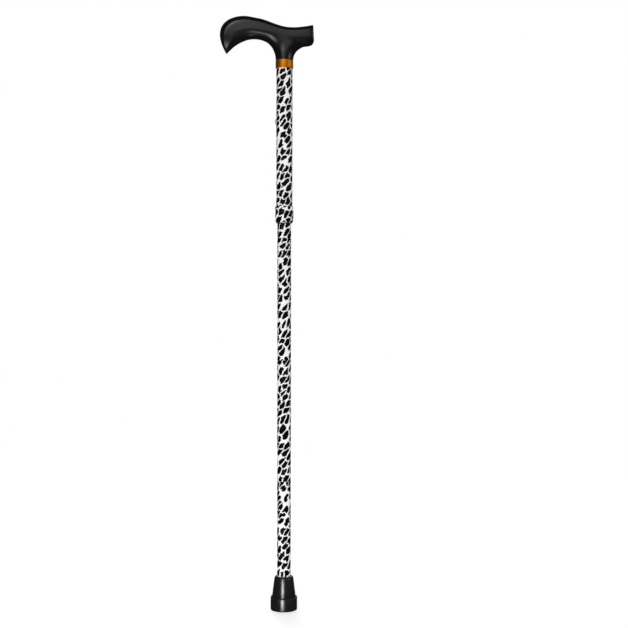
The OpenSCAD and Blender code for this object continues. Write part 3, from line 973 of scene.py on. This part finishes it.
# %% The strip and the button
STRIP_WIDE = 8 * MM
STRIP_THICK = 0.8 * MM
STRIP_LEN = 38 * MM
STRIP_EDGE = 0.15 * MM
BEND_DROP = 32 * MM
BUTTON_R = 3 * MM
BUTTON_DOME_R = 6 * MM
BUTTON_DOME_TURN = math.degrees(math.asin(0.44))
BUTTON_EDGE = 0.35 * MM
BUTTON_STEPS = 48

button_tip, strip_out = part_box("snap_button")[0].x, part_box("snap_button")[1].x
bend_z = button_z - BEND_DROP
strip = start_piece("strip")
bend = arc((0, bend_z), strip_out, 180, 360, steps=24)
draw([(-strip_out, bend_z + STRIP_LEN), *bend, (strip_out, bend_z + STRIP_LEN)])
bpy.ops.mesh.extrude_edges_move(TRANSFORM_OT_translate={"value": (0, STRIP_WIDE, 0)})
bpy.ops.mesh.select_all(action="SELECT")
bpy.ops.transform.translate(value=(0, -STRIP_WIDE / 2, 0))
bpy.ops.mesh.normals_make_consistent(inside=False)
apply_modifier(strip, "SOLIDIFY", thickness=STRIP_THICK, offset=-1)
apply_modifier(strip, "BEVEL", width=STRIP_EDGE, segments=2, limit_method="ANGLE", angle_limit=SMOOTH_ANGLE)

dome_fall = BUTTON_DOME_R - math.sqrt(BUTTON_DOME_R**2 - (BUTTON_R - BUTTON_EDGE) ** 2)
dome = arc((0, -BUTTON_DOME_R), BUTTON_DOME_R, 90, 90 - BUTTON_DOME_TURN, steps=6)
rim = arc((BUTTON_R - BUTTON_EDGE, -dome_fall - BUTTON_EDGE), BUTTON_EDGE, 60, 0, steps=4)
button_long = -button_tip - strip_out + STRIP_THICK / 2
foot_of_button = [(BUTTON_R, -button_long), (0, -button_long)]
button = lathe("snap_button_nickel", [(0, 0), *dome[1:], *rim, *foot_of_button], steps=BUTTON_STEPS)
bpy.ops.object.mode_set(mode="EDIT")
bpy.ops.mesh.select_all(action="SELECT")
bpy.ops.transform.rotate(value=math.pi / 2, orient_axis="Y", center_override=(0, 0, 0))
bpy.ops.transform.translate(value=(button_tip, 0, button_z))
take(strip)
button.select_set(True)
bpy.context.view_layer.objects.active = button
bpy.ops.object.join()
shade(button)
low = min(v.co.x for v in button.data.vertices)
print("button tip in mm", round(low / MM, 2), "and its frame", round(button_tip / MM, 2))

# %% The button's plating
BUFF_MARK = 0.8 * MM


def nickelled_steel():
    """Spring steel with a dull nickel plate: a soft grey metal with buffing marks."""
    made, tree = new_material("nickelled_spring_steel")
    place = add_node(tree, "ShaderNodeTexCoord").outputs["Object"]
    marks = add_node(tree, "ShaderNodeTexNoise", {"Vector": place, "Scale": 1 / BUFF_MARK, "Detail": 4.0})
    colour = add_node(
        tree, "ShaderNodeMix", {"Factor": marks, "A": srgb("#A9A59C"), "B": srgb("#CBC7BC")}, data_type="RGBA"
    )
    rough = add_node(tree, "ShaderNodeMapRange", {"Value": marks, "To Min": 0.24, "To Max": 0.4})
    shader = add_node(
        tree, "ShaderNodeBsdfPrincipled", {"Base Color": colour, "Metallic": 1.0, "Roughness": rough}
    )
    add_node(tree, "ShaderNodeOutputMaterial", {"Surface": shader})
    return made


button.data.materials.clear()
button.data.materials.append(nickelled_steel())
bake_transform(button, "inner_tube", "snap_button", start=(strip_out, 0, button_z), end=(-strip_out, 0, button_z))
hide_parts("snap_button")
print("the free leg moves with the button, and the other one stays against the tube")

# %% [markdown]
# ## The plugs
#
# A light grey plug is pressed into the top of each lower section. Its round nose slips into the tube above
# and the cord runs through it. The nose is struck from the fold's own axis, so that it swings out of the tube
# without touching it. It could be a plain cone. Here the arc is drawn from the fold's place, the mouth of the
# cord hole is rounded so that it can't chafe the cord, and the outline is spun.

# %% The three plugs
SLEEVE_LEN = 22.1 * MM
SLEEVE_R = 8.15 * MM
SLEEVE_DROP = 0.1 * MM
SLEEVE_EDGE = 0.5 * MM
NOSE_R = 8.05 * MM
NOSE_HIGH = 11.5 * MM
FOLD_REACH = 11.5 * MM
CORD_HOLE_R = 2.4 * MM
MOUTH_ROUND = 1.4 * MM
NOSE_STEPS = 12
NYLON_CLOUD = 5 * MM
NYLON_GRAIN = 0.5 * MM
FOLD_HEIGHTS = {"section_2_plug": 516 * MM, "section_3_plug": 348 * MM, "section_4_plug": 180 * MM}


def plug(node, fold_z):
    """A plug whose nose stands above the fold and whose sleeve reaches below it."""
    swing = FOLD_REACH + NOSE_R
    rises = np.linspace(0, NOSE_HIGH, NOSE_STEPS + 1)
    nose = [(math.sqrt(swing**2 - rise**2) - FOLD_REACH, fold_z + rise) for rise in rises]
    mouth_middle = (CORD_HOLE_R + MOUTH_ROUND, fold_z + NOSE_HIGH - MOUTH_ROUND)
    mouth = arc(mouth_middle, MOUTH_ROUND, 90, 180, steps=6)
    low = fold_z - SLEEVE_LEN
    sleeve = [(CORD_HOLE_R, low), (SLEEVE_R - SLEEVE_EDGE, low), (SLEEVE_R, low + SLEEVE_EDGE)]
    sleeve += [(SLEEVE_R, fold_z - SLEEVE_DROP)]
    return lathe(node + "_moulded", [*sleeve, *nose, *mouth, (CORD_HOLE_R, low)])


def grey_nylon():
    """Moulded nylon: pale grey, faintly cloudy and waxy, with a soft sheen."""
    made, tree = new_material("moulded_grey_nylon")
    place = add_node(tree, "ShaderNodeTexCoord").outputs["Object"]
    cloud = add_node(tree, "ShaderNodeTexNoise", {"Vector": place, "Scale": 1 / NYLON_CLOUD})
    grain = add_node(tree, "ShaderNodeTexNoise", {"Vector": place, "Scale": 1 / NYLON_GRAIN})
    colour = add_node(
        tree, "ShaderNodeMix", {"Factor": cloud, "A": srgb("#B9BBBD"), "B": srgb("#CDCFD1")}, data_type="RGBA"
    )
    rough = add_node(tree, "ShaderNodeMapRange", {"Value": grain, "To Min": 0.42, "To Max": 0.56})
    bump = add_node(tree, "ShaderNodeBump", {"Height": grain, "Strength": 0.1, "Distance": 0.04 * MM})
    shader = add_node(
        tree,
        "ShaderNodeBsdfPrincipled",
        {"Base Color": colour, "Roughness": rough, "IOR": 1.53, "Normal": bump},
    )
    add_node(tree, "ShaderNodeOutputMaterial", {"Surface": shader})
    return made


pale_nylon = grey_nylon()
for node, fold_z in FOLD_HEIGHTS.items():
    seat(plug(node, fold_z), node, pale_nylon)

# %% [markdown]
# ## The elastic cord
#
# A braided elastic cord runs inside the sections and pulls them together. Its stretches lie straight in the
# tubes and only show when the cane is folded. Then the cord leaves a tube's end, loops round the fold and
# goes into the plug's nose. It could be a curve that is drawn again for each pose. Here each stretch is a
# fine tube that blends between the two bodies it joins: one length stretches down the tube, and a short one
# with many rings loops round the fold. The braid follows a measure along the cord that is kept on the mesh,
# so that it isn't drawn out.

# %% The braid
CORD_R = 2 * MM
STRANDS = 8
STRAND_PITCH = 5 * MM
WEAVE_CREST = 0.9


def braided_elastic():
    """Black braided polyester over rubber: a fine diamond weave with a soft sheen, and deep lines between the
    strands, darkened in colour as painted shade.

    The strands are drawn about twice as coarse as real ones, so that they show."""
    made, tree = new_material("braided_elastic")
    place = add_node(tree, "ShaderNodeAttribute", attribute_name="braid_place").outputs["Vector"]
    parts = add_node(tree, "ShaderNodeSeparateXYZ", {0: place})
    angle = add_node(
        tree, "ShaderNodeMath", {0: parts.outputs["Y"], 1: parts.outputs["X"]}, operation="ARCTAN2"
    )
    round_it = add_node(tree, "ShaderNodeMath", {0: angle, 1: STRANDS / 2}, operation="MULTIPLY")
    along = add_node(
        tree, "ShaderNodeMath", {0: parts.outputs["Z"], 1: 2 * math.pi / STRAND_PITCH}, operation="MULTIPLY"
    )
    right = add_node(tree, "ShaderNodeMath", {0: along, 1: round_it}, operation="ADD")
    left = add_node(tree, "ShaderNodeMath", {0: along, 1: round_it}, operation="SUBTRACT")
    right = add_node(tree, "ShaderNodeMath", {0: right}, operation="SINE")
    left = add_node(tree, "ShaderNodeMath", {0: left}, operation="SINE")
    weave = add_node(tree, "ShaderNodeMath", {0: right, 1: left}, operation="MULTIPLY")
    crests = {"Value": weave, "From Min": -WEAVE_CREST, "From Max": WEAVE_CREST}
    rise = add_node(tree, "ShaderNodeMapRange", crests)
    # painted shade: the colour runs from dark grey on the crests of the strands to near black in the grooves
    # between them
    colour = add_node(
        tree, "ShaderNodeMix", {"Factor": rise, "A": srgb("#050506"), "B": srgb("#2B2B2E")}, data_type="RGBA"
    )
    rough = add_node(tree, "ShaderNodeMapRange", {"Value": rise, "To Min": 0.75, "To Max": 0.55})
    bump = add_node(tree, "ShaderNodeBump", {"Height": rise, "Strength": 0.6, "Distance": 0.25 * MM})
    shader = add_node(
        tree,
        "ShaderNodeBsdfPrincipled",
        {"Base Color": colour, "Roughness": rough, "Sheen Weight": 0.15, "Normal": bump},
    )
    add_node(tree, "ShaderNodeOutputMaterial", {"Surface": shader})
    return made


elastic = braided_elastic()
print("cord across in mm", round(2 * CORD_R / MM, 1))

# %% The stretches and the loops
LOOP_ABOVE = 12 * MM
LOOP_BELOW = 10 * MM
LOOP_ZONE = 8 * MM
LOOP_RINGS = 64
LOOP_ARC = 50 * MM
LOOP_SHARE = 0.85
LOOP_AIM = (0.423, -0.906)
RING_STEP = 6 * MM
CORD_SIDES = 24
CHAIN = ["inner_tube", "section_2", "section_3", "section_4"]


def cord_length(name, top, bottom, middle=None):
    """A closed length of cord in the shaft, with close rings round a middle height."""
    heights = list(np.arange(top, bottom, -RING_STEP))
    if middle is not None:
        half = LOOP_ZONE * LOOP_SHARE
        heights = [z for z in heights if abs(z - middle) > half + RING_STEP / 2]
        heights += list(np.linspace(middle + half, middle - half, LOOP_RINGS + 1))
        heights.sort(reverse=True)
    heights = [z for z in heights if z > bottom + MM] + [bottom]
    return lathe(name, [(0, top), *[(CORD_R, z) for z in heights], (0, bottom)], steps=CORD_SIDES)


def dress_cord(piece, node, extra=0.0):
    """Keeps each point's place along the cord for the braid, and lets the piece stand for a CAD node."""
    weights = piece.data.attributes.get("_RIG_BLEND")
    places = []
    for vertex in piece.data.vertices:
        drawn_out = extra * weights.data[vertex.index].value if weights else 0
        places += [vertex.co.x, vertex.co.y, drawn_out - vertex.co.z]
    kept = piece.data.attributes.new("braid_place", "FLOAT_VECTOR", "POINT")
    kept.data.foreach_set("vector", places)
    piece.data.materials.append(elastic)
    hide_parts(node)
    print(piece.name, "has", len(piece.data.polygons), "faces")


upper_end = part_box("cord_1")[1].z
for i, fold_z in enumerate(FOLD_HEIGHTS.values()):
    node = f"cord_{i + 1}"
    mouth_z = fold_z + NOSE_HIGH
    low_end = mouth_z + LOOP_ABOVE
    stretch = cord_length(f"cord_stretch_{i + 1}", upper_end, low_end)
    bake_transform(stretch, CHAIN[i], node, start=(0, 0, upper_end), end=(0, 0, low_end))
    dress_cord(stretch, node)
    away = 1 if i % 2 == 0 else -1
    across = Vector((LOOP_AIM[0] * away, 0, LOOP_AIM[1])) * LOOP_ZONE / 2
    mouth_place = Vector((0, 0, mouth_z))
    upper_end = fold_z - LOOP_BELOW
    loop = cord_length(f"cord_loop_{i + 1}", low_end, upper_end, mouth_z)
    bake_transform(loop, node, CHAIN[i + 1], start=mouth_place - across, end=mouth_place + across)
    dress_cord(loop, node, LOOP_ARC)
last = cord_length("cord_stretch_4", upper_end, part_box("cord_4")[0].z)
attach(last, "section_4")
dress_cord(last, "cord_4")

# %% [markdown]
# The cord ends in a knot behind each anchor. A knot could be traced as one curve through itself. At this size
# it only has to read as cord crossing over cord, so three tilted rings of cord and a short tail are joined,
# remeshed into one body and smoothed.

# %% The knots
KNOT_RING_R = 2.5 * MM
KNOT_CORD_R = 1.75 * MM
KNOT_TILT = math.radians(38)
KNOT_TAIL = 5 * MM
KNOT_TAIL_ASIDE = 0.8 * MM
KNOT_VOXEL = 0.22 * MM


def knot(node, tail_side):
    """Three crossed rings of cord and a cut tail, in the place of a CAD knot."""
    low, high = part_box(node)
    centre = (low + high) / 2
    piece = start_piece(node + "_tied")
    for turn, axis in ((KNOT_TILT, "X"), (-KNOT_TILT, "X"), (KNOT_TILT, "Y")):
        bpy.ops.mesh.primitive_torus_add(
            major_segments=48,
            minor_segments=20,
            major_radius=KNOT_RING_R,
            minor_radius=KNOT_CORD_R,
            location=centre,
        )
        bpy.ops.transform.rotate(value=turn, orient_axis=axis, center_override=centre)
    tail_place = centre + Vector((KNOT_TAIL_ASIDE, 0, tail_side * KNOT_TAIL / 2))
    bpy.ops.mesh.primitive_cylinder_add(
        vertices=32, radius=KNOT_CORD_R, depth=KNOT_TAIL, location=tail_place
    )
    apply_modifier(piece, "REMESH", mode="VOXEL", voxel_size=KNOT_VOXEL)
    apply_modifier(piece, "SMOOTH", factor=0.5, iterations=4)
    bpy.ops.object.shade_smooth()
    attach(piece, nodes[node]["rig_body"])
    dress_cord(piece, node)


knot("cord_knot_top", 1)
knot("cord_knot_bottom", -1)

# %% [markdown]
# ## Pieces that keep their CAD shape
#
# The collet, the glide bush, the two cord anchors and the ferrule's washer are small plain parts inside the
# cane. They could be made again here, but their solids already have the right shape, so they only get their
# finishes.

# %% Their finishes
DARK_GRAIN = 0.6 * MM
TOOL_SWEEP = 25 * MM
ANCHOR_MARK = 0.4 * MM
WASHER_MARK = 0.3 * MM


def dark_nylon():
    """Black-grey moulded nylon: matt, with a fine grain."""
    made, tree = new_material("moulded_dark_nylon")
    place = add_node(tree, "ShaderNodeTexCoord").outputs["Object"]
    grain = add_node(tree, "ShaderNodeTexNoise", {"Vector": place, "Scale": 1 / DARK_GRAIN})
    colour = add_node(
        tree, "ShaderNodeMix", {"Factor": grain, "A": srgb("#232324"), "B": srgb("#313133")}, data_type="RGBA"
    )
    rough = add_node(tree, "ShaderNodeMapRange", {"Value": grain, "To Min": 0.48, "To Max": 0.62})
    shader = add_node(
        tree, "ShaderNodeBsdfPrincipled", {"Base Color": colour, "Roughness": rough, "IOR": 1.53}
    )
    add_node(tree, "ShaderNodeOutputMaterial", {"Surface": shader})
    return made


def turned_metal(name, dark, light, mark):
    """Turned or rolled metal: pale, with fine rings from the tool."""
    made, tree = new_material(name)
    place = add_node(tree, "ShaderNodeTexCoord").outputs["Object"]
    size = (1 / TOOL_SWEEP, 1 / TOOL_SWEEP, 1 / mark)
    rings = add_node(tree, "ShaderNodeMapping", {"Vector": place, "Scale": size})
    marks = add_node(tree, "ShaderNodeTexNoise", {"Vector": rings, "Scale": 1.0, "Detail": 3.0})
    colour = add_node(
        tree, "ShaderNodeMix", {"Factor": marks, "A": srgb(dark), "B": srgb(light)}, data_type="RGBA"
    )
    rough = add_node(tree, "ShaderNodeMapRange", {"Value": marks, "To Min": 0.28, "To Max": 0.45})
    shader = add_node(
        tree, "ShaderNodeBsdfPrincipled", {"Base Color": colour, "Metallic": 1.0, "Roughness": rough}
    )
    add_node(tree, "ShaderNodeOutputMaterial", {"Surface": shader})
    return made


shadow_nylon = dark_nylon()
anchor_alloy = turned_metal("turned_aluminium", "#A9ACAF", "#CACCCF", ANCHOR_MARK)
washer_steel = turned_metal("rolled_washer_steel", "#9A9B9D", "#BFC0C2", WASHER_MARK)
finishes = {
    "collet": shadow_nylon,
    "glide_bush": shadow_nylon,
    "cord_anchor_top": anchor_alloy,
    "cord_anchor_bottom": anchor_alloy,
    "ferrule_washer": washer_steel,
}
for node, finish in finishes.items():
    nodes[node].data.materials.clear()
    nodes[node].data.materials.append(finish)
    print(node, "is", finish.name)
